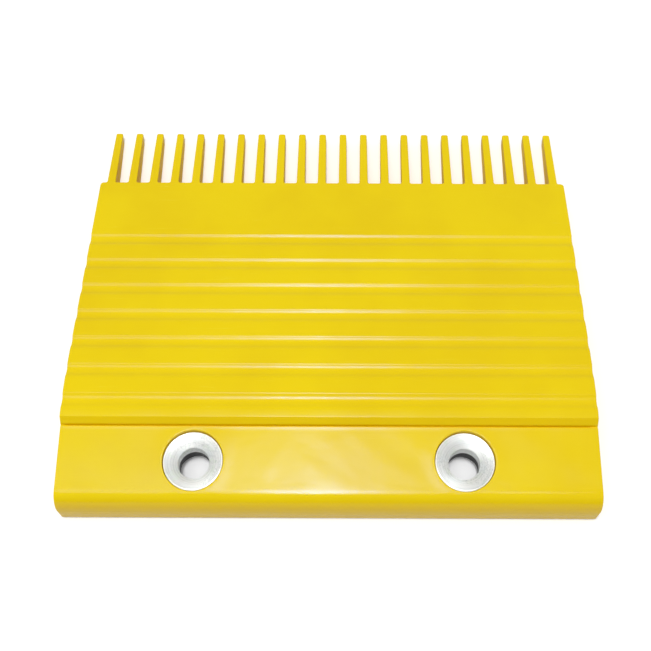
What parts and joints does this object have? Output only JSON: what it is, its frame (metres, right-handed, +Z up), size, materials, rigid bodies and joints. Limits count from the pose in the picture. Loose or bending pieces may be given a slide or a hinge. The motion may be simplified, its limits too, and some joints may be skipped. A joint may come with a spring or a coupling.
{
  "type": "escalator comb plate",
  "caption": "Yellow plastic escalator comb plate: a wedge with tapered teeth, a cross-grooved ramp and a sloping land with dished steel screw bushes.",
  "frame": {"origin": "middle of the flat underside, on the surface that the part rests on", "axes": "+Z up, +Y towards the teeth, +X across the width to the right when the teeth point away"},
  "size_m": [0.1994, 0.1742, 0.0207],
  "materials": {
    "yellow_plastic": "moulded, semi-gloss",
    "zinc_steel": "turned and zinc-plated"
  },
  "bodies": {
    "root": {"comb_plate": "yellow_plastic", "left_bush": "zinc_steel", "right_bush": "zinc_steel"}
  },
  "joints": []
}
